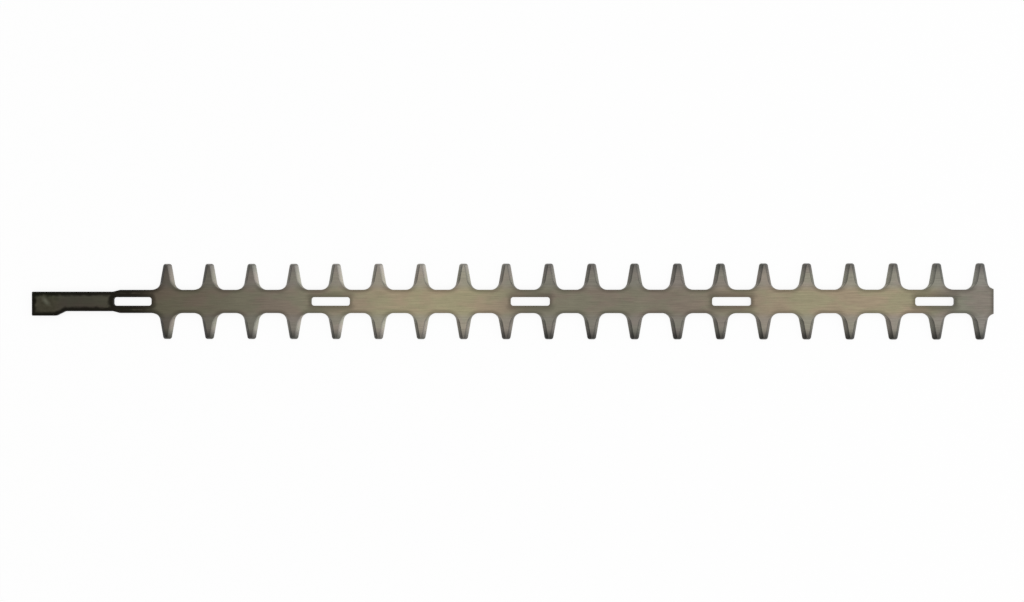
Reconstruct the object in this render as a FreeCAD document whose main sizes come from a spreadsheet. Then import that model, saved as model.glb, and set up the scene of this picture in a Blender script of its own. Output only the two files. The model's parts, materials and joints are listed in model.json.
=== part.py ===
import FreeCAD, Part
import math
import os

import Sketcher

# One blade of a double-sided hedge trimmer: a flat steel plate with a drive tang at one end,
# a row of ground teeth along both sides and a row of guide slots down the middle.
# Frame: X runs along the blade with the tang at -X, and +Z is up. The plate lies on its flat
# sliding face at Z = 0, with the ground bevels on top. The origin is the middle of the slot row.

# Driving dimensions, in millimetres unless the comment says otherwise
SIZES = {
    "plate_thickness": 2.5,
    "edge_land": 0.4,         # height of the upright wall left under a ground bevel
    "spine_width": 16.4,
    "tooth_pitch": 30.0,
    "tooth_count": 20,        # teeth along each side
    "tip_span": 53.2,         # across two opposite tips
    "tip_width": 5.6,         # tooth width where the flanks meet the tip line
    "flank_angle": 10.0,      # lean of a flank from square, in degrees
    "tip_radius": 1.8,
    "root_radius": 5.8,
    "crest_width": 1.1,       # width of the flat that the two bevels leave at the tip
    "crest_radius": 0.35,     # corner radius at the end of that flat
    "tip_bevel": 1.0,         # setback of the flat from the tip
    "slot_count": 5,
    "slot_length": 27.4,      # end to end
    "slot_width": 6.0,
    "first_slot_lead": 24.3,  # first slot's centre before the first tooth
    "last_slot_lead": 31.9,   # last slot's centre before the last tooth
    "end_overhang": 8.35,     # plain end past the last tooth's centre
    "tang_length": 96.0,      # drive end to the first tooth's centre
    "shank_width": 13.8,
    "shoulder_lead": 33.0,    # end of the shoulder before the first tooth
    "shoulder_length": 5.0,
    "foot_length": 17.0,
    "foot_ramp": 6.6,
    "foot_drop": 3.2,         # step of the foot below the shank's lower edge
    "corner_radius": 0.8,     # upright corners of the drive end
    "blend_radius": 3.0,      # upright corners of the ramp and the shoulders
}

# Places and sizes that follow from the driving dimensions
TOOTH_ROW = "dims.tooth_pitch * (dims.tooth_count - 1)"
SLOT_ROW = f"({TOOTH_ROW} + dims.first_slot_lead - dims.last_slot_lead)"
FIRST_SLOT = f"-{SLOT_ROW} / 2"
FIRST_TOOTH = f"dims.first_slot_lead - {SLOT_ROW} / 2"
HALF_SPINE = "dims.spine_width / 2"
HALF_SHANK = "dims.shank_width / 2"
TIP_HEIGHT = "dims.tip_span / 2"
LEAN = "dims.flank_angle * 1 deg"
# A fillet between a flank and a line along the blade starts this many radii from their corner
FILLET_REACH = f"tan(45 deg - {LEAN} / 2)"
# Width that the bevel takes from a flank, measured along the blade
BEVEL_WIDTH = f"((dims.tip_width - dims.crest_width) / 2 + dims.tip_bevel * tan({LEAN}))"
# This larger root radius brings the bevel's upper edge to the spine where the root fillet ends,
# so that the bevel runs out round the root
CREST_ROOT_RADIUS = f"dims.root_radius + {BEVEL_WIDTH} / {FILLET_REACH}"

UP = FreeCAD.Vector(0, 0, 1)
# A sketch's named points on a line or an arc, its own axes and its origin point
START, END, CENTRE = range(1, 4)
X_AXIS, Y_AXIS = range(-1, -3, -1)
ORIGIN = (X_AXIS, START)
SAME_PLACE = 1e-4

doc = FreeCAD.newDocument("hedge_trimmer_blade")
sheet = doc.addObject("Spreadsheet::Sheet", "dims")
for row, (alias, size) in enumerate(SIZES.items(), start=1):
    sheet.set(f"A{row}", alias)
    sheet.set(f"B{row}", str(size))
    sheet.setAlias(f"B{row}", alias)
doc.recompute()

blade = doc.addObject("PartDesign::Body", "blade")
blade.Label = "blade"


def number(expression):
    """The present value of an expression on the sheet."""
    value = blade.evalExpression(expression)
    return float(getattr(value, "Value", value))


def origin_feature(role):
    """One of the body's own origin planes or axes."""
    return next(item for item in blade.Origin.OriginFeatures if item.Role == role)


def plate_sketch(name, along, height="0"):
    """An empty sketch parallel to the plate, placed along the blade and above its underside."""
    sketch = blade.newObject("Sketcher::SketchObject", name)
    sketch.AttachmentSupport = [(origin_feature("XY_Plane"), "")]
    sketch.MapMode = "FlatFace"
    sketch.setExpression("AttachmentOffset.Base.x", along)
    sketch.setExpression("AttachmentOffset.Base.z", height)
    return sketch


def relate(sketch, kind, *items):
    """Add a geometric constraint."""
    sketch.addConstraint(Sketcher.Constraint(kind, *items))


def dimension(sketch, name, expression, kind, *items):
    """Add a dimension that follows the sheet."""
    index = sketch.addConstraint(Sketcher.Constraint(kind, *items, number(expression)))
    sketch.renameConstraint(index, name)
    sketch.setExpression(f"Constraints.{name}", expression)


def line(start, end):
    return Part.LineSegment(FreeCAD.Vector(*start), FreeCAD.Vector(*end))


def arc(centre, radius, start_angle, end_angle):
    return Part.ArcOfCircle(Part.Circle(FreeCAD.Vector(*centre), UP, radius), start_angle, end_angle)


def polygon(sketch, points):
    """A closed run of lines through the points; line i starts at point i."""
    for start, end in zip(points, points[1:] + points[:1]):
        sketch.addGeometry(line(start, end))
    for i in range(len(points)):
        relate(sketch, "Coincident", i, END, (i + 1) % len(points), START)


def tooth_outline(name, height, tip, corner, root_radius, tip_radius):
    """One tooth on half a pitch of spine, from the blade's centreline to the tip.

    tip is the tip line's distance from the centreline, and corner is half the width at which
    the flanks would meet that line. Both fillets of each flank are tangent arcs.
    """
    sketch = plate_sketch(name, FIRST_TOOTH, height)
    lean = math.radians(number("dims.flank_angle"))
    half_pitch, spine = number("dims.tooth_pitch / 2"), number(HALF_SPINE)
    tip_y, root_r, tip_r = number(tip), number(root_radius), number(tip_radius)
    reach = number(FILLET_REACH)
    root_x = number(corner) + (tip_y - spine) * math.tan(lean) + root_r * reach
    tip_x = number(corner) - tip_r * reach
    foot = (root_x - root_r * math.cos(lean), spine + root_r * (1 - math.sin(lean)))
    head = (tip_x + tip_r * math.cos(lean), tip_y - tip_r * (1 - math.sin(lean)))
    root_y, round_y, right = spine + root_r, tip_y - tip_r, math.pi / 2

    base, side, edge, root, flank, round_, top = range(7)
    round_left, flank_left, root_left, edge_left, side_left = range(7, 12)
    sketch.addGeometry([
        line((-half_pitch, 0), (half_pitch, 0)),
        line((half_pitch, 0), (half_pitch, spine)),
        line((half_pitch, spine), (root_x, spine)),
        arc((root_x, root_y), root_r, 2 * right + lean, 3 * right),
        line(foot, head),
        arc((tip_x, round_y), tip_r, lean, right),
        line((tip_x, tip_y), (-tip_x, tip_y)),
        arc((-tip_x, round_y), tip_r, right, 2 * right - lean),
        line((-head[0], head[1]), (-foot[0], foot[1])),
        arc((-root_x, root_y), root_r, 3 * right, 4 * right - lean),
        line((-root_x, spine), (-half_pitch, spine)),
        line((-half_pitch, spine), (-half_pitch, 0)),
    ])
    for first, second in ((base, side), (side, edge), (edge_left, side_left), (side_left, base)):
        relate(sketch, "Coincident", first, END, second, START)
    for first, first_point, second, second_point in (
            (edge, END, root, END), (root, START, flank, START), (flank, END, round_, START),
            (round_, END, top, START), (top, END, round_left, START),
            (round_left, END, flank_left, START), (flank_left, END, root_left, END),
            (root_left, START, edge_left, START)):
        relate(sketch, "Tangent", first, first_point, second, second_point)
    for level in (base, edge, top, edge_left):
        relate(sketch, "Horizontal", level)
    for upright in (side, side_left):
        relate(sketch, "Vertical", upright)
    relate(sketch, "Symmetric", base, START, base, END, *ORIGIN)
    relate(sketch, "Symmetric", root, CENTRE, root_left, CENTRE, Y_AXIS)
    relate(sketch, "Symmetric", round_, CENTRE, round_left, CENTRE, Y_AXIS)
    relate(sketch, "Equal", root, root_left)
    sharp_corner = sketch.addGeometry(Part.Point(FreeCAD.Vector(number(corner), tip_y, 0)), True)
    relate(sketch, "PointOnObject", sharp_corner, START, flank)
    relate(sketch, "PointOnObject", sharp_corner, START, top)

    dimension(sketch, "pitch", "dims.tooth_pitch", "DistanceX", base, START, base, END)
    dimension(sketch, "spine", HALF_SPINE, "DistanceY", *ORIGIN, edge, START)
    dimension(sketch, "tip", tip, "DistanceY", *ORIGIN, top, START)
    dimension(sketch, "corner", corner, "DistanceX", *ORIGIN, sharp_corner, START)
    dimension(sketch, "lean", f"90 deg + {LEAN}", "Angle", flank)
    dimension(sketch, "root_radius", root_radius, "Radius", root)
    dimension(sketch, "tip_radius", tip_radius, "Radius", round_)
    return sketch


def make_tang():
    """The plain drive end: stepped foot, shank, and shoulders up to the first tooth's pitch."""
    sketch = plate_sketch("tang_outline", FIRST_TOOTH)
    end = -number("dims.tang_length")
    heel = end + number("dims.foot_length")
    ramp = heel + number("dims.foot_ramp")
    spine_start = -number("dims.shoulder_lead")
    shank_end = spine_start - number("dims.shoulder_length")
    teeth = -number("dims.tooth_pitch / 2")
    spine, shank = number(HALF_SPINE), number(HALF_SHANK)
    sole = -shank - number("dims.foot_drop")
    polygon(sketch, [(end, sole), (heel, sole), (ramp, -shank), (shank_end, -shank),
                     (spine_start, -spine), (teeth, -spine), (teeth, spine),
                     (spine_start, spine), (shank_end, shank), (end, shank)])
    (sole_line, ramp_line, shank_low, shoulder_low, spine_low, joint, spine_high, shoulder_high,
     shank_high, end_line) = range(10)
    for level in (sole_line, shank_low, spine_low, spine_high, shank_high):
        relate(sketch, "Horizontal", level)
    for upright in (joint, end_line):
        relate(sketch, "Vertical", upright)
    for low, high in ((shoulder_low, shank_high), (spine_low, shoulder_high)):
        relate(sketch, "Symmetric", low, START, high, START, X_AXIS)
    dimension(sketch, "end", "dims.tang_length", "DistanceX", end_line, START, *ORIGIN)
    dimension(sketch, "foot", "dims.foot_length", "DistanceX", sole_line, START, sole_line, END)
    dimension(sketch, "ramp", "dims.foot_ramp", "DistanceX", ramp_line, START, ramp_line, END)
    dimension(sketch, "drop", "dims.foot_drop", "DistanceY", ramp_line, START, ramp_line, END)
    dimension(sketch, "shank", HALF_SHANK, "DistanceY", *ORIGIN, shank_high, START)
    dimension(sketch, "shoulder", "dims.shoulder_length", "DistanceX",
              shoulder_low, START, shoulder_low, END)
    dimension(sketch, "lead", "dims.shoulder_lead", "DistanceX", spine_low, START, *ORIGIN)
    dimension(sketch, "spine", HALF_SPINE, "DistanceY", *ORIGIN, spine_high, START)
    dimension(sketch, "joint", "dims.tooth_pitch / 2", "DistanceX", joint, START, *ORIGIN)

    tang = blade.newObject("PartDesign::Pad", "tang")
    tang.Profile = sketch
    tang.setExpression("Length", "dims.plate_thickness")
    doc.recompute()
    first_tooth = number(FIRST_TOOTH)
    round_corners("drive_end_corners", tang, "dims.corner_radius", [first_tooth + end])
    round_corners("tang_blends", blade.Tip, "dims.blend_radius",
                  [first_tooth + x for x in (heel, ramp, shank_end, spine_start)])


def round_corners(name, feature, radius, places):
    """Round the upright edges that stand at the given places along the blade."""
    corners = []
    for index, edge in enumerate(feature.Shape.Edges, start=1):
        box = edge.BoundBox
        if box.ZLength > box.XLength + box.YLength and min(abs(box.XMin - x) for x in places) < SAME_PLACE:
            corners.append(f"Edge{index}")
    fillet = blade.newObject("PartDesign::Fillet", name)
    fillet.Base = (feature, corners)
    fillet.setExpression("Radius", radius)
    doc.recompute()


def make_teeth():
    """The bevelled tooth, mirrored across the spine and repeated along it."""
    full = (TIP_HEIGHT, "dims.tip_width / 2", "dims.root_radius", "dims.tip_radius")
    crest = (f"{TIP_HEIGHT} - dims.tip_bevel", "dims.crest_width / 2", CREST_ROOT_RADIUS,
             "dims.crest_radius")
    tooth = blade.newObject("PartDesign::AdditiveLoft", "tooth")
    tooth.Profile = tooth_outline("tooth_underside", "0", *full)
    tooth.Sections = [tooth_outline("tooth_cutting_edge", "dims.edge_land", *full),
                      tooth_outline("tooth_crest", "dims.plate_thickness", *crest)]
    tooth.Ruled = True
    doc.recompute()

    teeth = blade.newObject("PartDesign::MultiTransform", "teeth")
    teeth.Originals = [tooth]
    across = blade.newObject("PartDesign::Mirrored", "teeth_across")
    across.MirrorPlane = (origin_feature("XZ_Plane"), [""])
    along = blade.newObject("PartDesign::LinearPattern", "teeth_along")
    along.Direction = (origin_feature("X_Axis"), [""])
    along.setExpression("Length", TOOTH_ROW)
    along.setExpression("Occurrences", "dims.tooth_count")
    teeth.Transformations = [across, along]
    blade.Tip = teeth
    doc.recompute()


def cut_through(name, sketch):
    """Pocket a sketch on the upper face right through the plate, and see that it cut."""
    before = blade.Tip.Shape.Volume
    pocket = blade.newObject("PartDesign::Pocket", name)
    pocket.Profile = sketch
    pocket.Type = "ThroughAll"
    doc.recompute()
    if pocket.Shape.Volume >= before:
        raise RuntimeError(f"{name} cut nothing")
    return pocket


def trim_end():
    """The square cut past the last tooth, which also takes off that tooth's outer root flares."""
    sketch = plate_sketch("end_cut", f"{FIRST_TOOTH} + {TOOTH_ROW} + dims.end_overhang",
                          "dims.plate_thickness")
    length, half = number("dims.tooth_pitch"), number(TIP_HEIGHT)
    polygon(sketch, [(0, half), (0, -half), (length, -half), (length, half)])
    cut, low, far, high = range(4)
    relate(sketch, "Symmetric", cut, START, cut, END, *ORIGIN)
    relate(sketch, "Vertical", cut)
    for level in (low, high):
        relate(sketch, "Horizontal", level)
    relate(sketch, "Vertical", far)
    dimension(sketch, "length", "dims.tooth_pitch", "DistanceX", low, START, low, END)
    dimension(sketch, "span", "dims.tip_span", "DistanceY", far, START, far, END)
    cut_through("end_trim", sketch)


def make_slots():
    """The row of round-ended guide slots."""
    sketch = plate_sketch("slot_outline", FIRST_SLOT, "dims.plate_thickness")
    centre = number("(dims.slot_length - dims.slot_width) / 2")
    radius, right = number("dims.slot_width / 2"), math.pi / 2
    low, end_right, high, end_left = range(4)
    sketch.addGeometry([
        line((-centre, -radius), (centre, -radius)),
        arc((centre, 0), radius, -right, right),
        line((centre, radius), (-centre, radius)),
        arc((-centre, 0), radius, right, 3 * right),
    ])
    for first, second in ((low, end_right), (end_right, high), (high, end_left), (end_left, low)):
        relate(sketch, "Tangent", first, END, second, START)
    for level in (low, high):
        relate(sketch, "Horizontal", level)
    relate(sketch, "Symmetric", end_right, CENTRE, end_left, CENTRE, *ORIGIN)
    dimension(sketch, "straight", "dims.slot_length - dims.slot_width", "DistanceX",
              end_left, CENTRE, end_right, CENTRE)
    dimension(sketch, "radius", "dims.slot_width / 2", "Radius", end_right)

    slot = cut_through("slot", sketch)
    slots = blade.newObject("PartDesign::LinearPattern", "slots")
    slots.Originals = [slot]
    slots.Direction = (origin_feature("X_Axis"), [""])
    slots.setExpression("Length", SLOT_ROW)
    slots.setExpression("Occurrences", "dims.slot_count")
    blade.Tip = slots
    doc.recompute()


make_tang()
make_teeth()
trim_end()
make_slots()

for item in doc.Objects:
    if "Invalid" in item.State or "Error" in item.State:
        raise RuntimeError(f"{item.Name} failed: {item.State}")
if blade.Shape.isNull() or not blade.Shape.isValid() or len(blade.Shape.Solids) != 1:
    raise RuntimeError("the blade isn't one valid solid")

os.makedirs("parts", exist_ok=True)
blade.Shape.exportStep(f"parts/{blade.Label}.step")
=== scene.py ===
"""The finished look of a hedge trimmer blade: the ground steel plate and the studio round it.

The file is laid out as an add-on and run as a script. Lengths are in metres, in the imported
model's own frame: X runs along the blade with the drive end at -X, and Z is up.
"""
import json
import math
from collections import namedtuple
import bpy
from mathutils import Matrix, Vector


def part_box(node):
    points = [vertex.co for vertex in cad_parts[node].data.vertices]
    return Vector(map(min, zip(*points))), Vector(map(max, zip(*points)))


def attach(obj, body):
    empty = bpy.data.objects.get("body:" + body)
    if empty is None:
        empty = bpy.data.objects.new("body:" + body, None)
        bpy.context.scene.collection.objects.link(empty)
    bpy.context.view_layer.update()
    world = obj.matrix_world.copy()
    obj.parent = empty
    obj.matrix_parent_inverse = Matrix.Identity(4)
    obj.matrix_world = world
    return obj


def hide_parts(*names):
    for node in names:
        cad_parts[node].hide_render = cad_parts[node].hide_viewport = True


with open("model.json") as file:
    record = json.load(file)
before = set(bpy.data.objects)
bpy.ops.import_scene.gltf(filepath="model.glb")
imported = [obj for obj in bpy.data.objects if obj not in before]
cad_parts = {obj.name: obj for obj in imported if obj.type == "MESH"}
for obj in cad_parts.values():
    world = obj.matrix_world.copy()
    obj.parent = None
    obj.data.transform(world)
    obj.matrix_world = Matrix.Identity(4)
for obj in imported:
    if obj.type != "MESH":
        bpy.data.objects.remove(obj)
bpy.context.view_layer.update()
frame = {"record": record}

from types import SimpleNamespace

import bpy
import numpy as np
from bpy.props import FloatProperty, FloatVectorProperty, IntProperty, PointerProperty

bl_info = {
    "name": "Hedge Trimmer Blade",
    "version": (1, 0, 0),
    "blender": (4, 5, 0),
    "location": "View3D > Sidebar > Blade",
    "description": "Builds a ground steel hedge trimmer blade on a pale studio floor",
    "category": "Object",
}

MM = 0.001

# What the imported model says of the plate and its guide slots
LOW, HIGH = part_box("blade")
MOUNTS = {mount["name"]: mount for mount in frame["record"]["mounts"]}
SLOTS = MOUNTS["outer_guide_slots"]["dims"]


# Properties

def length(name, description, millimetres):
    """A length that is written in millimetres and kept in metres."""
    return FloatProperty(name=name, description=description, default=millimetres * MM,
                         precision=5, unit="LENGTH")


def share(name, description, value):
    """A factor from 0 to 1."""
    return FloatProperty(name=name, description=description, default=value, min=0, max=1,
                         subtype="FACTOR")


def angle(name, description, degrees):
    """An angle that is written in degrees and kept in radians."""
    return FloatProperty(name=name, description=description, default=math.radians(degrees),
                         subtype="ANGLE", unit="ROTATION")


def colour(name, description, *display):
    """A colour that is written as it shows on a display, from 0 to 255, and kept linear."""
    shown = np.array(display) / 255
    linear = np.where(shown <= 0.04045, shown / 12.92, ((shown + 0.055) / 1.055) ** 2.4)
    return FloatVectorProperty(name=name, description=description, default=linear.tolist(),
                               min=0, max=1, subtype="COLOR")


class BladeSizes(bpy.types.PropertyGroup):
    """Sizes of the plate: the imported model's, and the slot corners and fine edges of its looks."""

    drive_end: length("Drive end", "Place of the drive end along the blade", LOW.x / MM)
    plain_end: length("Plain end", "Place of the plain end along the blade", HIGH.x / MM)
    tip_height: length("Tip height", "Tooth tips from the centreline", HIGH.y / MM)
    thickness: length("Thickness", "Thickness of the plate", (HIGH.z - LOW.z) / MM)
    edge_land: length("Edge land", "Upright wall left under a ground bevel", 0.4)
    spine_width: length("Spine width", "Width of the plate between the teeth", 16.4)
    tooth_pitch: length("Tooth pitch", "Distance from tooth to tooth", 30.0)
    tooth_count: IntProperty(name="Teeth", description="Teeth along each side", default=20, min=1)
    tip_width: length("Tip width", "Tooth width where the flanks meet the tip line", 5.6)
    flank_angle: angle("Flank angle", "Lean of a flank from square", 10.0)
    tip_radius: length("Tip radius", "Rounding of the tooth's tip corners", 1.8)
    root_radius: length("Root radius", "Fillet between a flank and the spine", 5.8)
    crest_width: length("Crest width", "Flat that the bevels leave at the tip", 1.1)
    crest_radius: length("Crest radius", "Rounding of that flat's corners", 0.35)
    tip_bevel: length("Tip bevel", "Setback of that flat from the tip", 1.0)
    end_overhang: length("End overhang", "Plain end past the last tooth's centre", 8.35)
    slot_count: IntProperty(name="Slots", description="Guide slots along the blade", default=5, min=2)
    slot_row: length("Slot row", "First slot's centre to the last slot's", SLOTS["spacing_x_mm"])
    slot_length: length("Slot length", "Guide slot from end to end", SLOTS["slot_length_mm"])
    slot_width: length("Slot width", "Guide slot from side to side", 2 * SLOTS["hole_r_mm"])
    slot_corner: length("Slot corner", "Corner radius at a guide slot's ends", 1.8)
    shank_width: length("Shank width", "Width of the drive shank", 13.8)
    shoulder_lead: length("Shoulder lead", "End of the shoulder before the first tooth", 33.0)
    shoulder_length: length("Shoulder length", "Length of the shoulder", 5.0)
    foot_length: length("Foot length", "Length of the drive foot", 17.0)
    foot_ramp: length("Foot ramp", "Length of the ramp from the foot to the shank", 6.6)
    foot_drop: length("Foot drop", "Step of the foot below the shank", 3.2)
    corner_radius: length("Corner radius", "Upright corners of the drive end", 0.8)
    blend_reach: length("Blend reach", "How far the ramp's and shoulder's corners are rounded", 0.6)
    edge_round: length("Edge round", "Setback of the deburred rounding along every edge", 0.1)
    edge_break: length("Edge break", "Half the wear facet along the cutting edge", 0.03)


class BladeFinish(bpy.types.PropertyGroup):
    """Colours and wear of the ground steel, and the shade and highlights painted on it."""

    foot: colour("Foot", "Oxide on the drive foot", 72, 72, 60)
    # The colour of the foot's paler patch
    pale_patch: colour("Pale patch", "Metal that wear has bared on the foot", 102, 102, 88)
    tang: colour("Shank", "Oxide on the drive shank", 77, 74, 67)
    stained: colour("Stained steel", "Steel beside the tang, where oxide still stains it", 104, 98, 86)
    dull: colour("Dull spans", "Steel where the grinding is dull", 128, 122, 111)
    bright: colour("Bright spans", "Steel where the grinding is fresh", 163, 153, 130)
    bevel: colour("Bevels", "Steel of the ground bevels and the plain end", 130, 128, 121)
    crest: colour("Crests", "Steel of the flats along the teeth", 138, 134, 126)
    warm: colour("Warm tint", "Tint of the browner patches", 255, 246, 242)
    green: colour("Green tint", "Tint of the greener patches", 248, 252, 240)
    # Painted shade along bevel ridges, run-outs and tooth tips, and painted shade and highlights on the
    # bevels by their side and place
    ridge_shade: share("Ridge shade", "How much darker a bevel is along its ridge", 0.46)
    run_out_shade: share("Run-out shade", "How much darker a bevel is where it runs out", 0.40)
    tip_shade: share("Tip shade", "How much darker the tooth tips are, at most", 0.68)
    drive_shade: share("Drive side shade", "How much darker the first bevels are towards the tang", 0.7)
    first_highlight: share("First highlight", "How much brighter the first bevels are away from the tang", 0.52)
    last_bevel_shade: share("Last bevel shade", "How much darker the last bevels are away from the tang", 0.2)
    tooth_grey: share("Tooth grey", "How much of the steel's warmth the teeth lack", 0.3)
    tip_grey: share("Tip grey", "How much more of it the teeth's tips lack", 0.2)
    # Painted shade along the bare faces' rims and darker rails beside the slots, then the oxide's rims
    # and stain on the tang
    rail_shade: share("Rail shade", "How much darker the rails beside the slots are", 0.22)
    rim_shade: share("Rim shade", "How much darker the ground faces are along their rims", 0.40)
    oxide_rim: share("Oxide rim", "How much darker the tang is along its rims", 0.80)
    rim_width: length("Rim width", "Width of the darker rims", 3.2)
    rim_waver: length("Rim waver", "How much the tang's dark rims vary in width", 3.0)
    slot_stain: length("Slot stain", "How far a slot's dark stain reaches from it", 4.4)
    mark_shade: share("Mark shade", "How much the grinding marks differ in tone", 0.36)
    mark_depth: length("Mark depth", "Depth of the grinding marks", 0.02)
    cloud_shade: share("Cloud shade", "How much the steel's clouds differ in tone", 0.28)
    mottle_shade: share("Mottle shade", "How much the foot's mottled oxide differs in tone", 0.9)
    roughness: share("Roughness", "Roughness of the ground faces", 0.42)


class StudioSetup(bpy.types.PropertyGroup):
    """Floor, light and camera."""

    floor: colour("Floor", "Colour of the floor", 255, 255, 255)
    floor_size: length("Floor size", "Side of the square floor", 60000.0)
    sky: colour("Sky", "Light from overhead and the lamp's side", 255, 255, 255)
    horizon: colour("Horizon", "Light from the side away from the lamp", 174, 174, 174)
    lens: FloatProperty(name="Lens", description="Focal length", default=32.0, unit="CAMERA")
    camera_height: length("Camera height", "Camera above the floor", 640.3)
    camera_along: length("Camera place", "Camera's place along the blade", -0.5)
    camera_across: length("Camera offset", "Camera's place across the blade", 0.3)
    camera_lean: angle("Camera lean", "Turn of the camera towards the drive end", 1.106)
    lamp_size: length("Lamp size", "Side of the soft light", 1300.0)
    lamp_along: length("Lamp place", "Soft light's place along the blade", 1900.0)
    lamp_across: length("Lamp offset", "Soft light's place across the blade", 300.0)
    lamp_height: length("Lamp height", "Soft light above the floor", 800.0)
    lamp_power: FloatProperty(name="Lamp power", description="Power of the soft light",
                              default=6.0, unit="POWER")
    glow: share("Glow", "How much of the floor's white shows without the light on it", 0.85)


# The plate's shape

ROOT_STEPS, FLANK_STEPS, TIP_STEPS = 12, 9, 6   # divisions of a flank's two arcs and straight
TOOTH_ROWS = ROOT_STEPS + FLANK_STEPS + TIP_STEPS
ROW_CROWDING = 1.3        # above 1, a tooth's middle rows crowd towards its root
SPINE_ROWS = np.array([0, 0.05, 0.12, 0.3, 0.5, 0.7, 0.88, 0.95, 1])   # across half the spine
COLUMN_STEP = 1.6 * MM    # along the blade
SLOT_STEPS = 8            # round a corner of a slot
SLOT_END = 0.01 * MM      # a slot's end wall takes this much of its length
CORNER_STEPS = 6          # round a corner of the drive end
BLEND_COLUMNS = 7         # across a rounded corner of the ramp or the shoulder
WINDOW_STEPS = 33         # samples in the average that rounds a corner
SAME_PLACE = 1e-7         # columns nearer than this are one
BEVEL_PARTS = (0, 1 / 3, 2 / 3, 1)   # rings down a bevel, from its ridge to the cutting edge
FULL_BEVEL = 0.7 * MM     # a bevel at least this wide is finished as one
STEEP = 0.45              # a normal turned this much to the drive end is wholly on that side

Outline = namedtuple("Outline", "tip corner root_radius tip_radius")


def face_sizes(sizes):
    """The sizes of a flat face, which the rounding along its edges sets back all round."""
    face = SimpleNamespace(**{name: getattr(sizes, name) for name in BladeSizes.__annotations__})
    setback = sizes.edge_round
    face.drive_end += setback
    face.plain_end -= setback
    face.end_overhang -= setback
    face.foot_length -= setback
    face.corner_radius -= setback
    face.spine_width -= 2 * setback
    face.shank_width -= 2 * setback
    face.slot_width += 2 * setback
    face.slot_length += 2 * setback
    face.slot_corner += setback
    return face


def fillet_reach(sizes):
    """Radii from a flank's corner with a lengthwise line to the start of a fillet there."""
    return math.tan(math.pi / 4 - sizes.flank_angle / 2)


def tooth_outlines(sizes):
    """A tooth's outline at the cutting edge and the smaller one of the flat between its bevels.

    The flat's root radius is larger by the bevel's width over the fillet's reach, so both
    outlines leave the spine at one point and the bevel runs out round the root.
    """
    bevel = (sizes.tip_width - sizes.crest_width) / 2
    bevel += sizes.tip_bevel * math.tan(sizes.flank_angle)
    full = Outline(sizes.tip_height, sizes.tip_width / 2, sizes.root_radius, sizes.tip_radius)
    crest = Outline(sizes.tip_height - sizes.tip_bevel, sizes.crest_width / 2,
                    sizes.root_radius + bevel / fillet_reach(sizes), sizes.crest_radius)
    return [set_back(outline, sizes) for outline in (full, crest)]


def set_back(outline, sizes):
    """An outline moved in by the edge rounding, about the same arc centres.

    The corner's half-width loses the setback times the fillet's reach, because the flank moves
    in by the setback over the cosine of its lean and the lower tip line gives some of it back.
    """
    setback = sizes.edge_round
    return Outline(outline.tip - setback, outline.corner - setback * fillet_reach(sizes),
                   outline.root_radius + setback, outline.tip_radius - setback)


def flank_curve(sizes, outline, cut=math.inf):
    """Half-widths and heights up one side of a tooth, from the spine to the tip line.

    An arc of the root radius leaves the spine level and turns up to the flank's lean, the flank
    is straight, and an arc of the tip radius turns level again. Where the plate is cut off
    nearer than the root, the side first climbs the cut to where the arc crosses it.
    """
    lean, spine, reach = sizes.flank_angle, sizes.spine_width / 2, fillet_reach(sizes)
    root_x = outline.corner + (outline.tip - spine) * math.tan(lean) + outline.root_radius * reach
    tip_x = outline.corner - outline.tip_radius * reach
    climbed = root_x > cut
    start = math.asin((root_x - cut) / outline.root_radius) if climbed else 0.0
    turn = np.linspace(start, math.pi / 2 - lean, ROOT_STEPS - 1 if climbed else ROOT_STEPS + 1)
    root = np.stack((root_x - outline.root_radius * np.sin(turn),
                     spine + outline.root_radius * (1 - np.cos(turn))), axis=-1)
    if climbed:
        below_corner = root[0] - (0, sizes.edge_round)
        root = np.vstack(((cut, spine), below_corner, root))
    turn = np.linspace(lean, math.pi / 2, TIP_STEPS + 1)
    tip = np.stack((tip_x + outline.tip_radius * np.cos(turn),
                    outline.tip - outline.tip_radius * (1 - np.sin(turn))), axis=-1)
    flank = root[-1] + (tip[0] - root[-1]) * np.linspace(0, 1, FLANK_STEPS + 1)[1:-1, None]
    return np.vstack((root, flank, tip)).T


def tooth_centres(sizes):
    """Places of the teeth along the blade, counted back from the plain end."""
    last = sizes.plain_end - sizes.end_overhang
    return last - sizes.tooth_pitch * np.arange(sizes.tooth_count - 1, -1, -1)


def slot_centres(sizes):
    """Places of the guide slots along the blade, evenly along a row that the origin halves."""
    return sizes.slot_row * np.linspace(-0.5, 0.5, sizes.slot_count)


def tang_corners(sizes):
    """Places along the blade of the foot's heel, the ramp's end and the shoulder's two ends."""
    heel = sizes.drive_end + sizes.foot_length
    spine_start = tooth_centres(sizes)[0] - sizes.shoulder_lead
    return heel, heel + sizes.foot_ramp, spine_start - sizes.shoulder_length, spine_start


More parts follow.
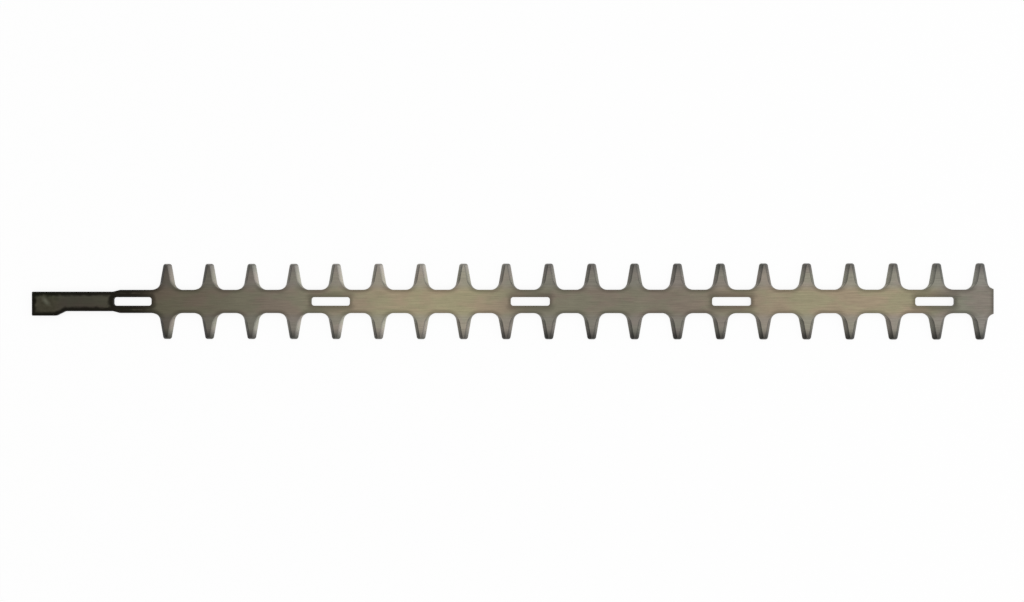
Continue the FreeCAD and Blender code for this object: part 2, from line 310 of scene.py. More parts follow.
def plate_columns(sizes, root):
    """Places along the blade of the plate's grid columns, with teeth of this half-width at the root.

    Columns stand at every corner and tangent point and at even angles round the slots' corners,
    and even steps fill the rest where they keep half a step clear of those.
    """
    quarter = np.linspace(0, math.pi / 2, SLOT_STEPS + 1)[:-1]
    end = sizes.slot_length / 2
    slot_end = end - sizes.slot_corner * (1 - np.sin(quarter))
    slot_end = np.append(slot_end, (end - SLOT_END, end))
    corner = sizes.corner_radius * (1 - np.cos(np.linspace(0, math.pi / 2, CORNER_STEPS + 1)))
    blend = sizes.blend_reach * np.linspace(-1, 1, BLEND_COLUMNS)
    fixed = np.concatenate((
        sizes.drive_end + corner,
        np.add.outer(tang_corners(sizes), blend).ravel(),
        np.add.outer(slot_centres(sizes), np.concatenate((-slot_end, slot_end))).ravel(),
        np.add.outer(tooth_centres(sizes), (-root, root)).ravel(),
        [sizes.plain_end],
    ))
    fixed = np.sort(fixed[fixed <= sizes.plain_end])
    even = np.arange(sizes.drive_end, sizes.plain_end, COLUMN_STEP)
    clear = np.abs(even[:, None] - fixed).min(axis=1) > COLUMN_STEP / 2
    columns = np.sort(np.concatenate((fixed, even[clear])))
    return columns[np.append(True, np.diff(columns) > SAME_PLACE)]


def rounded_run(x, corners, reach):
    """Heights along straight lines through the corners, each the average over a short reach."""
    along, heights = np.transpose(corners)
    window = np.linspace(-reach, reach, WINDOW_STEPS)
    return np.interp(x[:, None] + window, along, heights).mean(axis=1)


def plate_edges(sizes, x):
    """Distances from the centreline to the upper and the lower edge of the plate without teeth.

    Both run straight along shank, shoulder and spine, and the lower one also along the foot. At
    the drive end each drops by a quarter circle: the radius less the root of its square less the
    square of the distance to the arc's centre.
    """
    heel, ramp_end, shank_end, spine_start = tang_corners(sizes)
    shank, spine = sizes.shank_width / 2, sizes.spine_width / 2
    sole = shank + sizes.foot_drop
    rest = [(shank_end, shank), (spine_start, spine), (sizes.plain_end, spine)]
    upper = [(sizes.drive_end, shank)] + rest
    lower = [(sizes.drive_end, sole), (heel, sole), (ramp_end, shank)] + rest
    radius = sizes.corner_radius
    short = np.clip(radius - (x - sizes.drive_end), 0, radius)
    drop = radius - np.sqrt(radius ** 2 - short ** 2)
    return [rounded_run(x, corners, sizes.blend_reach) - drop for corners in (upper, lower)]


def past_slot_corners(sizes, x):
    """Distance along the blade past the nearest slot's corner centres, below 0 between them."""
    to_centre = np.abs(x[..., None] - slot_centres(sizes)).min(axis=-1)
    return to_centre - (sizes.slot_length / 2 - sizes.slot_corner)


def slot_half_heights(sizes, x):
    """Half the slot's height at each place, and 0 outside the slots.

    From the slot's half-width, a corner takes its radius less the root of the radius squared
    less the distance past its centre squared.
    """
    corner, past = sizes.slot_corner, past_slot_corners(sizes, x)
    drop = corner - np.sqrt(np.clip(corner ** 2 - np.clip(past, 0, None) ** 2, 0, None))
    return np.where(past < corner - SLOT_END / 2, sizes.slot_width / 2 - drop, 0)


def slot_distance(sizes, x, y):
    """Distance from the nearest slot: to its corner's centre less the radius, or to its straight."""
    beyond = np.abs(y) - (sizes.slot_width / 2 - sizes.slot_corner)
    past = past_slot_corners(sizes, x)
    return np.hypot(np.clip(past, 0, None), np.clip(beyond, 0, None)) - sizes.slot_corner


def root_distance(sizes, outline, x, y):
    """Distance from the nearer fillet at a tooth's root: to the arc's centre less its radius."""
    away = np.abs(x[..., None] - tooth_centres(sizes)).min(axis=-1)
    rise = np.clip(sizes.spine_width / 2 + outline.root_radius - y, 0, None)
    return np.hypot(flank_curve(sizes, outline)[0][0] - away, rise) - outline.root_radius


def spine_sheet(sizes, outline, x, edge, under_teeth):
    """Half the plate without teeth, as places and edge distances over columns and rows.

    Each column runs straight from the slot's edge, or the centreline, out to the plate's edge.
    A point's edge distance is the least of those to the plate's edge, or to a root's fillet
    where a tooth stands, to the nearest slot and to the two ends.
    """
    inner = slot_half_heights(sizes, x)[:, None]
    y = inner + (edge[:, None] - inner) * SPINE_ROWS
    along = np.broadcast_to(x[:, None], y.shape)
    to_edge = np.where(under_teeth[:, None], root_distance(sizes, outline, along, y), edge[:, None] - y)
    to_slot = slot_distance(sizes, along, y)
    inside = np.minimum.reduce((to_edge, to_slot, along - sizes.drive_end, sizes.plain_end - along))
    return np.stack((along, y, np.clip(inside, 0, None)), axis=-1)


def tooth_sheet(sizes, outline, x, centre):
    """A tooth on the spine's columns: places and edge distances over columns and rows.

    A column keeps its share of the half-width all the way up. Its rows go from even heights at
    the middle to the flank's own heights at the sides, in proportion to that share.
    """
    left = flank_curve(sizes, outline)
    right = flank_curve(sizes, outline, sizes.plain_end - centre)
    half, height = np.where((x > centre)[:, None, None], np.array(right), np.array(left)).swapaxes(0, 1)
    across = ((x - centre) / half[:, 0])[:, None]
    spine = sizes.spine_width / 2
    middle = spine + (outline.tip - spine) * np.linspace(0, 1, TOOTH_ROWS + 1) ** ROW_CROWDING
    y = middle + np.abs(across) * (height - middle)
    along = centre + across * half
    to_flank = (1 - np.abs(across)) * half * math.cos(sizes.flank_angle)
    inside = np.minimum.reduce((to_flank, root_distance(sizes, outline, along, y), outline.tip - y))
    return np.stack((along, y, np.clip(inside, 0, None)), axis=-1)


def quads(grid):
    """Four-sided faces of an index grid, anticlockwise where it runs along +X and then +Y."""
    corners = (grid[:-1, :-1], grid[1:, :-1], grid[1:, 1:], grid[:-1, 1:])
    return np.stack(corners, axis=-1).reshape(-1, 4)


def side_path(edge, teeth):
    """Indices along one side of the plate, over its teeth, from the drive end to the plain end."""
    runs, start = [], 0
    for first, last, tooth in teeth:
        runs += [edge[start:first + 1], tooth[0, 1:], tooth[1:, -1], tooth[-1, -2:0:-1]]
        start = last
    return np.concatenate(runs + [edge[start:]])


def plate_sheet(sizes, outline):
    """One flat face of the plate: its points, faces and closed edge loops.

    A point is its place in X and Y with its distance from the nearest edge. Two grids meet along
    the centreline and part round the slots, and each tooth is a grid on the columns at its root.
    Loops go round with the steel on their left.
    """
    root, centres = flank_curve(sizes, outline)[0][0], tooth_centres(sizes)
    x = plate_columns(sizes, root)
    edges = plate_edges(sizes, x)
    spans = np.stack((np.searchsorted(x, centres - root - SAME_PLACE),
                      np.searchsorted(x, centres + root + SAME_PLACE) - 1), axis=-1)
    under_teeth = np.any((x[:, None] > x[spans[:, 0]] + SAME_PLACE)
                         & (x[:, None] < x[spans[:, 1]] - SAME_PLACE), axis=1)
    points, faces, sides = [], [], []
    count = 0
    for sign, edge in zip((1, -1), edges):
        half = spine_sheet(sizes, outline, x, edge, under_teeth)
        grid = count + np.arange(half.shape[0] * half.shape[1]).reshape(half.shape[:2])
        count += grid.size
        grids, teeth, mirrored = [grid], [], [half.reshape(-1, 3)]
        for (first, last), centre in zip(spans, centres):
            tooth = tooth_sheet(sizes, outline, x[first:last + 1], centre)[:, 1:]
            own = count + np.arange(tooth.shape[0] * tooth.shape[1]).reshape(tooth.shape[:2])
            count += own.size
            own = np.hstack((grid[first:last + 1, -1:], own))
            grids.append(own)
            teeth.append((first, last, own))
            mirrored.append(tooth.reshape(-1, 3))
        points.append(np.vstack(mirrored) * (1, sign, 1))
        sides.append((grid, side_path(grid[:, -1], teeth)))
        if sign < 0:
            whole = slot_half_heights(sizes, x) == 0
            grid[whole, 0] = sides[0][0][whole, 0]
        faces += [quads(own)[:, ::sign] for own in grids]
    (upper, upper_path), (lower, lower_path) = sides
    outer = np.concatenate((lower_path, lower[-1, -2:0:-1], upper[-1, :-1],
                            upper_path[::-1], upper[0, -2::-1], lower[0, 1:-1]))
    loops = [outer]
    reach = sizes.slot_length / 2
    for centre in slot_centres(sizes):
        first, last = np.searchsorted(x, (centre - reach - SAME_PLACE, centre + reach - SAME_PLACE))
        loops.append(np.concatenate((upper[first:last + 1, 0], lower[last - 1:first:-1, 0])))
    return np.vstack(points), np.vstack(faces), loops


def loop_normals(loop):
    """Outward unit normals along a closed loop, and the moves that set its two sides off by one.

    With the steel on the left, outward is the direction of travel turned to the right. The move
    is the sum of the two sides' normals over one plus their product.
    """
    step = np.roll(loop, -1, axis=0) - loop
    step /= np.linalg.norm(step, axis=1, keepdims=True)
    after = np.stack((step[:, 1], -step[:, 0]), axis=-1)
    before = np.roll(after, 1, axis=0)
    both = before + after
    move = both / (1 + (before * after).sum(axis=1, keepdims=True))
    return both / np.linalg.norm(both, axis=1, keepdims=True), move


def rim_rings(sizes, top, bottom):
    """The wall between an edge loop of the upper face and the same loop of the underside, as rings.

    The profile is carried round the loop: a rounding of the upper corner, the bevel's slope, a
    narrow break at the cutting edge, the upright land and a rounding of the lower corner. Each
    corner lies one setback outside the face's loop, so a rounding that turns by an angle has the
    setback over the tangent of half that angle for its radius. Gives places, normals and how far
    down the bevel each point is, ring by ring, with the bevel's share round the loop.
    """
    out_top, move_top = loop_normals(top)
    out_low, move_low = loop_normals(bottom)
    setback, facet, land, high = sizes.edge_round, sizes.edge_break, sizes.edge_land, sizes.thickness
    width = ((bottom - top) * out_top).sum(axis=1)
    slope = np.arctan2(high - land, np.clip(width, 0, None))
    radius = setback / np.tan(slope / 2)
    none = np.zeros_like(slope)
    right, eighth = none + math.pi / 2, math.pi / 4

    def ring(base, move, outward, away, height, tilt):
        """Points set off outward at a height, with normals tilted from upright."""
        place = np.column_stack((base + move * (none + away)[:, None], none + height))
        return place, np.column_stack((outward * np.sin(tilt)[:, None], np.cos(tilt)))

    on_top, on_low = (top, move_top, out_top), (bottom, move_low, out_low)
    ridge = ring(*on_top, setback * (1 + np.cos(slope)), high - setback * np.sin(slope), slope)
    edge = ring(*on_low, setback - facet * np.cos(slope), land + facet * np.sin(slope), slope)
    rings = [
        (*ring(*on_top, 0, high, none), none),
        (*ring(*on_top, radius * np.sin(slope / 2), high - radius * (1 - np.cos(slope / 2)), slope / 2),
         none),
        *((ridge[0] + (edge[0] - ridge[0]) * part, ridge[1], none + part) for part in BEVEL_PARTS),
        (*ring(*on_low, setback, land - facet, right), none + 1),
        (*ring(*on_low, setback, setback, right), none + 1),
        (*ring(*on_low, setback * math.cos(eighth), setback * (1 - math.sin(eighth)), right + eighth),
         none + 1),
        (*ring(*on_low, 0, 0, 2 * right), none + 1),
    ]
    share_of_bevel = np.clip(width / FULL_BEVEL, 0, 1)
    return [np.stack(part) for part in zip(*rings)] + [share_of_bevel]


def blade_surface(sizes):
    """The whole closed plate: places, faces, normals and the values that its finish reads.

    The upper face carries the crest outline and the underside the full one, on the same grid.
    Along each edge loop the two are joined by rim rings, whose first and last ring are the
    faces' own edge points.
    """
    face = face_sizes(sizes)
    full, crest = tooth_outlines(sizes)
    upper, faces, loops = plate_sheet(face, crest)
    under = plate_sheet(face, full)[0]
    count = len(upper)
    places = [np.column_stack((upper[:, :2], np.full(count, sizes.thickness))),
              np.column_stack((under[:, :2], np.zeros(count)))]
    normals = [np.tile((0.0, 0.0, 1.0), (count, 1)), np.tile((0.0, 0.0, -1.0), (count, 1))]
    values = {"edge_distance": [upper[:, 2], under[:, 2]], "bevel": [np.zeros(2 * count)],
              "down_bevel": [np.zeros(2 * count)], "along_edge": [np.zeros(2 * count)]}
    all_faces = [faces, faces[:, ::-1] + count]
    total = 2 * count
    for loop in loops:
        top, bottom = upper[loop, :2], under[loop, :2]
        place, normal, down, bevel = (part[1:-1] if part.ndim > 1 else part
                                      for part in rim_rings(sizes, top, bottom))
        size, rings = len(loop), len(place)
        between = total + np.arange(rings * size).reshape(rings, size)
        total += between.size
        grid = np.vstack((loop, between, loop + count))
        all_faces.append(quads(np.hstack((grid, grid[:, :1]))))
        places.append(place.reshape(-1, 3))
        normals.append(normal.reshape(-1, 3))
        travel = np.linalg.norm(np.roll(bottom, -1, axis=0) - bottom, axis=1)
        values["edge_distance"].append(np.zeros(between.size))
        values["bevel"].append(np.tile(bevel, rings))
        values["down_bevel"].append(down.ravel())
        values["along_edge"].append(np.tile(np.cumsum(travel) - travel, rings))
    used, renumbered = np.unique(np.vstack(all_faces), return_inverse=True)
    places = np.vstack(places)[used]
    values = {name: np.concatenate(parts)[used] for name, parts in values.items()}
    normals = np.vstack(normals)[used]
    values["slot_distance"] = slot_distance(sizes, places[:, 0], places[:, 1])
    values["drive_side"] = np.clip(-normals[:, 0] / STEEP, 0, 1)
    return places, renumbered.reshape(-1, 4), normals, values


def mesh_object(name, places, faces, normals=None, values=None):
    """A smooth mesh object at the origin from arrays of places and four-sided faces."""
    mesh = bpy.data.meshes.new(name)
    mesh.vertices.add(len(places))
    mesh.vertices.foreach_set("co", np.ravel(places).astype(np.float32))
    mesh.loops.add(faces.size)
    mesh.loops.foreach_set("vertex_index", faces.ravel().astype(np.int32))
    mesh.polygons.add(len(faces))
    mesh.polygons.foreach_set("loop_start", np.arange(0, faces.size, 4, dtype=np.int32))
    mesh.update(calc_edges=True)
    if mesh.validate():
        raise RuntimeError(f"{name} has faces that Blender can't keep")
    for value_name, numbers in (values or {}).items():
        attribute = mesh.attributes.new(value_name, "FLOAT", "POINT")
        attribute.data.foreach_set("value", numbers.astype(np.float32))
    mesh.shade_smooth()
    if normals is not None:
        mesh.normals_split_custom_set_from_vertices(normals.tolist())
    made = bpy.data.objects.new(name, mesh)
    bpy.context.collection.objects.link(made)
    return made


# Shader maths

class Value:
    """A shader output that takes part in expressions, each of which adds a Math node."""

    def __init__(self, graph, output):
        self.graph = graph
        self.output = output

    def math(self, operation, *values):
        """A Math node on one or two values."""
        sockets = ("Value", "Value_001")
        return self.graph.node("ShaderNodeMath", {"operation": operation}, dict(zip(sockets, values)))

    def also(self, name):
        """Another output of the same node."""
        return self.graph.output(self.output.node, name)

    def __add__(self, other):
        return self.math("ADD", self, other)

    __radd__ = __add__

    def __sub__(self, other):
        return self.math("SUBTRACT", self, other)

    def __rsub__(self, other):
        return self.math("SUBTRACT", other, self)

    def __mul__(self, other):
        return self.math("MULTIPLY", self, other)

    __rmul__ = __mul__

    def __truediv__(self, other):
        return self.math("DIVIDE", self, other)

    def __rtruediv__(self, other):
        return self.math("DIVIDE", other, self)

    def __abs__(self):
        return self.math("ABSOLUTE", self)


class Graph:
    """A node tree that is written as expressions."""

    def __init__(self, tree):
        self.tree = tree
        tree.nodes.clear()

    def node(self, kind, settings=None, inputs=None, output=None):
        """A node of this type, with its settings made first and its sockets given or linked."""
        made = self.tree.nodes.new(kind)
        for name, setting in (settings or {}).items():
            setattr(made, name, setting)
        sockets = {socket.identifier: socket for socket in made.inputs}
        for name, given in (inputs or {}).items():
            if isinstance(given, Value):
                self.tree.links.new(given.output, sockets[name])
            else:
                sockets[name].default_value = given
        return self.output(made, output) if made.outputs else None

    def output(self, node, name=None):
        """One of a node's outputs, or its first."""
        return Value(self, next(found for found in node.outputs if name in (None, found.identifier)))

    def smooth(self, value, low, high):
        """0 below low and 1 above high, with a smooth step between."""
        return self.node("ShaderNodeMapRange", {"interpolation_type": "SMOOTHSTEP"},
                         {"Value": value, "From Min": low, "From Max": high})

    def mix(self, share_of_second, first, second, blend="MIX"):
        """The first colour with a share of the second mixed in, or blended as named."""
        return self.node("ShaderNodeMix", {"data_type": "RGBA", "blend_type": blend},
                         {"Factor_Float": share_of_second, "A_Color": first, "B_Color": second},
                         "Result_Color")

    def noise(self, place, per_metre, detail=3.0, roughness=0.55):
        """Noise from 0 to 1 with its own number of features per metre along each axis."""
        stretched = self.node("ShaderNodeVectorMath", {"operation": "MULTIPLY"},
                              {"Vector": place, "Vector_001": per_metre})
        return self.node("ShaderNodeTexNoise", None,
                         {"Vector": stretched, "Scale": 1.0, "Detail": detail, "Roughness": roughness})


def solid(rgb):
    """A colour property with full alpha."""
    return (*rgb, 1.0)


# Materials

# Features per metre of the finish's noises, along each axis
PATCHES = (45, 90, 90)
CLOUDS = (110, 160, 160)
MOTTLE = (260, 260, 260)
LINES = (55, 2400, 2400)
BEVEL_LINES = 2600        # round the cutting edge

GRAIN = 0.7               # how much of the grinding marks is in their finer parts
BLOTCH_REACH = (5 * MM, 2.5 * MM)   # of the foot's worn blotch, in x - y and in x + y

# How far a steel covers the colour before it
LATE_COVER = 0.8          # bright steel, on the later of the fresh spans
BEVEL_COVER = 0.35        # bevel steel, on the bevels by the tang, and twice that past its stain
END_COVER = 0.8           # bevel steel, on the plain end
CREST_COVER = 0.2         # crest steel, past the tang's stain
LAST_CREST_COVER = 0.4    # crest steel, more than that on the last teeth

# How the teeth's painted shade and highlights, and the crests' stain, differ by their place
STAINED_CREST = 0.15      # how much darker the crests by the tang are
NEAR_HIGHLIGHT = 0.5          # how much more painted highlight the first bevels get in the row at -Y
FAR_HIGHLIGHT = 0.2           # how much painted highlight brightens the bevels towards the tang in the row at +Y
LAST_HIGHLIGHT = 0.35         # how much more painted highlight than that on the last teeth
FAR_TIP_RELIEF = 0.65     # share of the tips' shade that the row at +Y is spared
LATE_TIP_LOSS = 0.25      # how much less it is spared on the late teeth
FRESH_TIP_RELIEF = 0.25   # share of the tips' shade that the early fresh span is spared at -Y
FRESH_FAR_RELIEF = 0.75   # how much more it is spared at +Y

# How far the marks, the clouds and the oxide change the roughness, and the bump's strength
ROUGH_MARKS, ROUGH_CLOUDS, ROUGH_OXIDE = 0.2, 0.12, 0.1
BUMP_STRENGTH = 0.5


def new_material(name):
    """A material with an empty node tree, and its graph."""
    material = bpy.data.materials.new(name)
    material.use_nodes = True
    return material, Graph(material.node_tree)


def blade_places(graph, sizes):
    """Places on the blade, its mesh's own values, and masks of where the finish changes.

    Each mask goes smoothly between 0 and 1. The foot's starts from its heel, and the others along
    the blade are set out in slot lengths from the quarter points of the slot row.
    """
    place = graph.node("ShaderNodeTexCoord", output="Object")
    x = graph.node("ShaderNodeSeparateXYZ", None, {"Vector": place}, "X")
    y = x.also("Y")
    names = ("edge_distance", "slot_distance", "bevel", "down_bevel", "along_edge", "drive_side")
    values = {name: graph.node("ShaderNodeAttribute", {"attribute_name": name}, output="Fac")
              for name in names}
    first, second, third, fourth, last = (sizes.slot_row * np.linspace(-0.5, 0.5, 5)).tolist()
    slot, heel = sizes.slot_length, tang_corners(sizes)[0]
    return SimpleNamespace(
        place=place, x=x, y=y, **values,
        clouds=graph.noise(place, CLOUDS),
        mottle=graph.noise(place, MOTTLE, detail=4.0, roughness=0.6),
        # The foot, then where the tang's oxide thins, where it has gone and where its stain has too
        foot=1 - graph.smooth(x, heel - 2 * MM, heel + 8 * MM),
        thin=graph.smooth(x, first - 1.5 * slot, first + 1.1 * slot),
        bare=graph.smooth(x, first, first + 1.1 * slot),
        clear=graph.smooth(x, first + 0.3 * slot, second - 0.3 * slot),
        # Two spans of fresher grinding, and the plain end
        early=(graph.smooth(x, second - 1.6 * slot, second + 2.4 * slot)
               - graph.smooth(x, third - 1.8 * slot, third + 0.4 * slot)),
        late=(graph.smooth(x, fourth - 1.3 * slot, fourth + 2.0 * slot)
              - graph.smooth(x, last - slot, last + 0.7 * slot)),
        end=graph.smooth(x, last - 0.3 * slot, last + 0.9 * slot),
        # Teeth by their place along the blade
        first_teeth=1 - graph.smooth(x, second, third),
        late_teeth=graph.smooth(x, third, fourth),
        last_teeth=graph.smooth(x, fourth, last),
        # On the teeth, at their tips, and towards the row at +Y
        tooth=graph.smooth(abs(y), 0.4 * sizes.spine_width, 0.8 * sizes.spine_width),
        tip=graph.smooth(abs(y), sizes.tip_height - 9 * MM, sizes.tip_height - MM),
        far_row=graph.smooth(y, -sizes.tip_height, sizes.tip_height),
    )


def foot_blotch(graph, sizes, at):
    """A soft slanting oval near the foot's middle, where the foot is paler.

    The distance from its middle is the root of the squares of x - y and x + y from there, each
    counted in its own reach.
    """
    x = at.x - (tang_corners(sizes)[0] - 0.4 * sizes.foot_length)
    slants = graph.node("ShaderNodeCombineXYZ", None,
                        {"X": (x - at.y) / BLOTCH_REACH[0], "Y": (x + at.y) / BLOTCH_REACH[1]})
    away = graph.node("ShaderNodeVectorMath", {"operation": "LENGTH"}, {"Vector": slants}, "Value")
    return (1 - graph.smooth(away, 0.0, 1.6)) * graph.smooth(at.clouds, 0.2, 0.6)


def steel_tone(graph, sizes, finish, at):
    """Colour: oxide that clears from the foot on, dull and bright spans, bevels, crests and tints."""
    heel, ramp_end = tang_corners(sizes)[:2]
    off_foot = graph.smooth(at.x, heel - 3 * MM, ramp_end)
    tone = graph.mix(off_foot, solid(finish.foot), solid(finish.tang))
    tone = graph.mix(at.thin, tone, solid(finish.stained))
    tone = graph.mix(at.clear, tone, solid(finish.dull))
    tone = graph.mix(at.early + LATE_COVER * at.late, tone, solid(finish.bright))
    tone = graph.mix(BEVEL_COVER * (1 + at.clear) * at.bevel, tone, solid(finish.bevel))
    tone = graph.mix(END_COVER * at.end, tone, solid(finish.bevel))
    on_crest = (CREST_COVER * at.clear + LAST_CREST_COVER * at.last_teeth) * at.tooth * (1 - at.bevel)
    tone = graph.mix(on_crest, tone, solid(finish.crest))
    patches = graph.noise(at.place, PATCHES, detail=4.0)
    tint = graph.mix(graph.smooth(patches, 0.38, 0.62), solid(finish.warm), solid(finish.green))
    tone = graph.mix(1.0, tone, tint, "MULTIPLY")
    warmth = 1 - finish.tooth_grey * at.tooth - finish.tip_grey * at.tip
    tone = graph.node("ShaderNodeHueSaturation", None, {"Saturation": warmth, "Color": tone})
    return graph.mix(foot_blotch(graph, sizes, at), tone, solid(finish.pale_patch))


def grinding_marks(graph, at):
    """Fine marks from 0 to 1, which run lengthwise on the faces and across the bevels."""
    lengthwise = graph.noise(at.place, LINES, roughness=GRAIN)
    across = graph.node("ShaderNodeTexNoise", {"noise_dimensions": "1D"},
                        {"W": at.along_edge * BEVEL_LINES, "Scale": 1.0, "Detail": 3.0,
                         "Roughness": GRAIN})
    return graph.smooth(lengthwise + at.bevel * (across - lengthwise), 0.3, 0.7)


def shade_of_teeth(finish, at):
    """Painted shade and highlights on the teeth: dark ridges, run-outs and tips, and bevels that differ
    along the blade by their side and row; and a stain on the crests by the tang.

    A ridge's shade falls with the square of the share of the bevel that is still below, and a
    run-out is darkest where the bevel's share is a half.
    """
    bevel, up_bevel = at.bevel, 1 - at.down_bevel
    # Painted shade along the bevels' ridges and where they run out round the roots
    ridge = bevel * up_bevel * up_bevel
    run_out = 4 * bevel * (1 - bevel)
    # Painted shade on the first bevels that face the tang, and a stain on the crests by the tang
    darkening = finish.drive_shade * at.drive_side * bevel + STAINED_CREST * at.tooth * (1 - bevel)
    # Painted highlights and painted shade on the bevels, by the side they face, their row and their
    # place along the blade
    painted_bevel_light = finish.first_highlight * at.first_teeth * (1 + NEAR_HIGHLIGHT * (1 - at.far_row))
    painted_bevel_light = (1 - at.drive_side) * (painted_bevel_light - finish.last_bevel_shade * at.last_teeth)
    painted_bevel_light = painted_bevel_light + at.drive_side * at.far_row * (FAR_HIGHLIGHT + LAST_HIGHLIGHT * at.last_teeth)
    # Painted shade at the tooth tips, lighter in the row at +Y and on the early bright span
    tip = at.tip * (1 - at.far_row * (FAR_TIP_RELIEF - LATE_TIP_LOSS * at.late_teeth))
    tip = tip * (1 - at.early * (FRESH_TIP_RELIEF + FRESH_FAR_RELIEF * at.far_row))
    shade = (1 - finish.ridge_shade * ridge) * (1 - finish.run_out_shade * run_out)
    shade = shade * (1 - (1 - at.clear) * darkening) * (1 + bevel * painted_bevel_light)
    return shade * (1 - finish.tip_shade * tip)


def shade_of_rims(graph, sizes, finish, at):
    """Shade of the flat faces: painted shade along their rims and darker rails beside the slots on bare
    steel, and darkest oxide along the tang's rims and round the first slot.
    """
    rim = (1 - graph.smooth(at.edge_distance, 0.0, finish.rim_width)) * (1 - at.tooth)
    rail = 1 - graph.smooth(at.slot_distance, 0.5 * finish.slot_stain, 1.3 * finish.slot_stain)
    rail = rail * graph.smooth(abs(at.y), 0.25 * sizes.slot_width, 0.6 * sizes.slot_width)
    # Painted shade along the bare faces' rims, and darker rails beside the slots
    on_bare = finish.rim_shade * rim + finish.rail_shade * rail * (1 - rim)
    waver = finish.rim_waver * (at.mottle - 0.5)
    oxide = 1 - graph.smooth(at.edge_distance + waver, 0.5 * finish.rim_width, 1.25 * finish.rim_width)
    # The oxide's stain round the first slot
    darkening = 1 - graph.smooth(at.slot_distance + waver, 0.5 * finish.slot_stain, finish.slot_stain)
    on_oxide = finish.oxide_rim * oxide.math("MAXIMUM", oxide, darkening)
    dark = at.bare * on_bare + (1 - at.bare) * on_oxide
    return 1 - dark * (1 - at.bevel)


def ground_steel(sizes, finish):
    """Warm grey ground steel: a dark oxide tang, dull and bright spans, plainer bevels, dark rims of
    painted shade and oxide, and painted shade and highlights on the teeth.
    """
    material, graph = new_material("ground_steel")
    at = blade_places(graph, sizes)
    height = grinding_marks(graph, at)
    marks, clouds = height - 0.5, at.clouds - 0.5
    shade = 1 + finish.mark_shade * marks + finish.cloud_shade * clouds
    shade = shade + finish.mottle_shade * at.foot * (at.mottle - 0.5)
    shade = shade * shade_of_teeth(finish, at) * shade_of_rims(graph, sizes, finish, at)
    tone = graph.node("ShaderNodeVectorMath", {"operation": "SCALE"},
                      {"Vector": steel_tone(graph, sizes, finish, at), "Scale": shade})
    roughness = finish.roughness + ROUGH_MARKS * marks + ROUGH_CLOUDS * clouds
    roughness = roughness + ROUGH_OXIDE * (1 - at.bare)
    normal = graph.node("ShaderNodeBump", None, {"Strength": BUMP_STRENGTH,
                                                 "Distance": finish.mark_depth, "Height": height})
    shader = graph.node("ShaderNodeBsdfPrincipled", None,
                        {"Base Color": tone, "Roughness": roughness, "Metallic": 1.0, "Normal": normal})
    graph.node("ShaderNodeOutputMaterial", None, {"Surface": shader})
    return material


def floor_paint(studio):
    """Matt white paint, part of which shows its white to the eye and to reflections without light."""
    material, graph = new_material("floor_paint")
    paint = graph.node("ShaderNodeBsdfPrincipled", None,
                       {"Base Color": solid(studio.floor), "Roughness": 0.9, "Specular IOR Level": 0.0})
    white = graph.node("ShaderNodeEmission", None, {"Color": solid(studio.floor), "Strength": 1.0})
    seen = graph.node("ShaderNodeLightPath", output="Is Camera Ray")
    seen = seen + seen.also("Is Glossy Ray") + seen.also("Is Transmission Ray")
    shader = graph.node("ShaderNodeMixShader", None,
                        {"Fac": studio.glow * seen, "Shader": paint, "Shader_001": white})
    graph.node("ShaderNodeOutputMaterial", None, {"Surface": shader})
    return material


# Operators

FLOOR_DROP = 0.05 * MM            # floor below the plate's underside
SENSOR_WIDTH = 36.0               # of the camera, in millimetres
BRIGHTEST = (0.58, 0.12, 0.80)    # direction that most light comes from
DIMMEST, FULLEST = -0.5, 0.75     # how far to face that way for the least and the most light


class BLADE_OT_plate(bpy.types.Operator):
    """Build the blade's finished plate in place of the plain solid"""

    bl_idname = "blade.plate"
    bl_label = "Blade Plate"

    def execute(self, context):
        sizes = context.scene.blade_sizes
        plate = mesh_object("blade_plate", *blade_surface(sizes))
        plate.data.materials.append(ground_steel(sizes, context.scene.blade_finish))
        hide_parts("blade")
        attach(plate, "root")
        return {"FINISHED"}


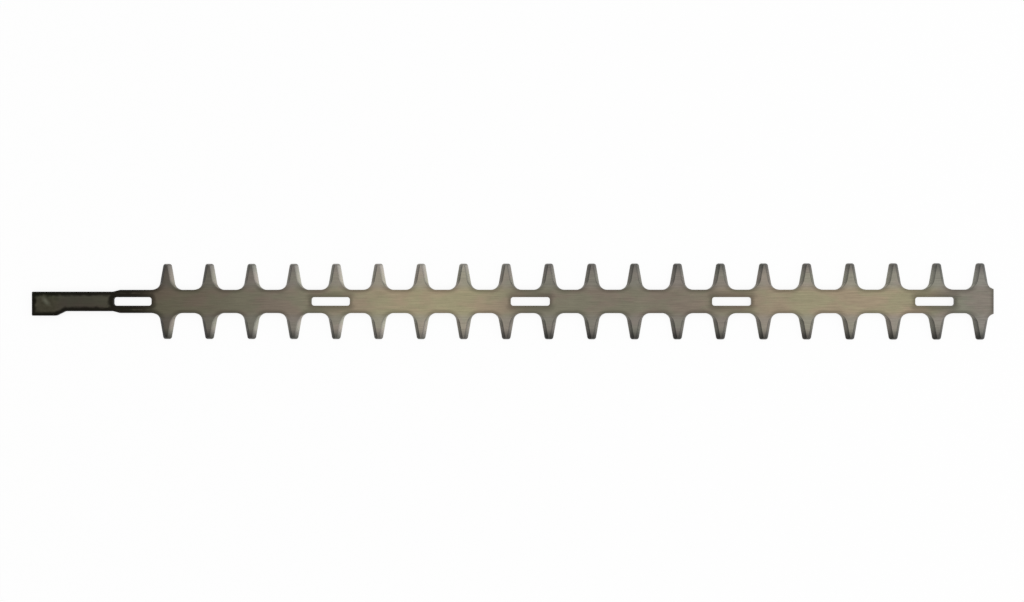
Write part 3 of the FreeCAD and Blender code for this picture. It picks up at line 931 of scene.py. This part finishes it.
class BLADE_OT_stage(bpy.types.Operator):
    """Lay the floor and set the light and the camera"""

    bl_idname = "blade.stage"
    bl_label = "Studio Stage"

    def execute(self, context):
        scene, studio = context.scene, context.scene.blade_studio
        scene.view_settings.view_transform = "Standard"
        self.lay_floor(studio)
        self.light_world(scene, studio)
        self.hang_lamp(scene, studio)
        self.set_camera(scene, studio)
        return {"FINISHED"}

    def lay_floor(self, studio):
        """A flat square just under the plate."""
        side = np.linspace(-0.5, 0.5, 3) * studio.floor_size
        x, y = np.meshgrid(side, side, indexing="ij")
        places = np.stack((x, y, np.full_like(x, -FLOOR_DROP)), axis=-1).reshape(-1, 3)
        floor = mesh_object("floor", places, quads(np.arange(len(places)).reshape(x.shape)))
        floor.data.materials.append(floor_paint(studio))

    def light_world(self, scene, studio):
        """Pale light all round, brighter overhead and on the lamp's side than away from it."""
        scene.world = bpy.data.worlds.new("studio_light")
        scene.world.use_nodes = True
        graph = Graph(scene.world.node_tree)
        direction = graph.node("ShaderNodeTexCoord", output="Generated")
        facing = graph.node("ShaderNodeVectorMath", {"operation": "DOT_PRODUCT"},
                            {"Vector": direction, "Vector_001": BRIGHTEST}, "Value")
        bright = graph.smooth(facing, DIMMEST, FULLEST)
        light = graph.mix(bright, solid(studio.horizon), solid(studio.sky))
        background = graph.node("ShaderNodeBackground", None, {"Color": light, "Strength": 1.0})
        graph.node("ShaderNodeOutputWorld", None, {"Surface": background})

    def hang_lamp(self, scene, studio):
        """One soft square light beyond the plain end, turned to the blade."""
        lamp = bpy.data.lights.new("soft_light", "AREA")
        lamp.shape = "SQUARE"
        lamp.size = studio.lamp_size
        lamp.energy = studio.lamp_power
        hung = bpy.data.objects.new("soft_light", lamp)
        hung.location = (studio.lamp_along, studio.lamp_across, studio.lamp_height)
        hung.rotation_euler = hung.location.to_track_quat("Z", "Y").to_euler()
        scene.collection.objects.link(hung)

    def set_camera(self, scene, studio):
        """A camera almost square over the plate, leaning a little towards the drive end."""
        camera = bpy.data.cameras.new("camera")
        camera.lens = studio.lens
        camera.sensor_width = SENSOR_WIDTH
        camera.sensor_fit = "HORIZONTAL"
        camera.clip_start = 0.01
        placed = bpy.data.objects.new("camera", camera)
        placed.location = (studio.camera_along, studio.camera_across, studio.camera_height)
        placed.rotation_euler = (0, studio.camera_lean, 0)
        scene.collection.objects.link(placed)
        scene.camera = placed


class BLADE_PT_panel(bpy.types.Panel):
    """The blade's sizes and finish with the buttons that build it"""

    bl_label = "Hedge Trimmer Blade"
    bl_space_type = "VIEW_3D"
    bl_region_type = "UI"
    bl_category = "Blade"

    def draw(self, context):
        scene = context.scene
        groups = {"Sizes": scene.blade_sizes, "Finish": scene.blade_finish,
                  "Studio": scene.blade_studio}
        for title, group in groups.items():
            box = self.layout.box()
            box.label(text=title)
            for name in group.__annotations__:
                box.prop(group, name)
        for operator in (BLADE_OT_plate, BLADE_OT_stage):
            self.layout.operator(operator.bl_idname)


CLASSES = (BladeSizes, BladeFinish, StudioSetup, BLADE_OT_plate, BLADE_OT_stage, BLADE_PT_panel)


def register():
    for item in CLASSES:
        bpy.utils.register_class(item)
    bpy.types.Scene.blade_sizes = PointerProperty(type=BladeSizes)
    bpy.types.Scene.blade_finish = PointerProperty(type=BladeFinish)
    bpy.types.Scene.blade_studio = PointerProperty(type=StudioSetup)


def unregister():
    del bpy.types.Scene.blade_sizes, bpy.types.Scene.blade_finish, bpy.types.Scene.blade_studio
    for item in reversed(CLASSES):
        bpy.utils.unregister_class(item)


def main():
    register()
    bpy.ops.blade.plate()
    bpy.ops.blade.stage()


if __name__ == "__main__":
    main()
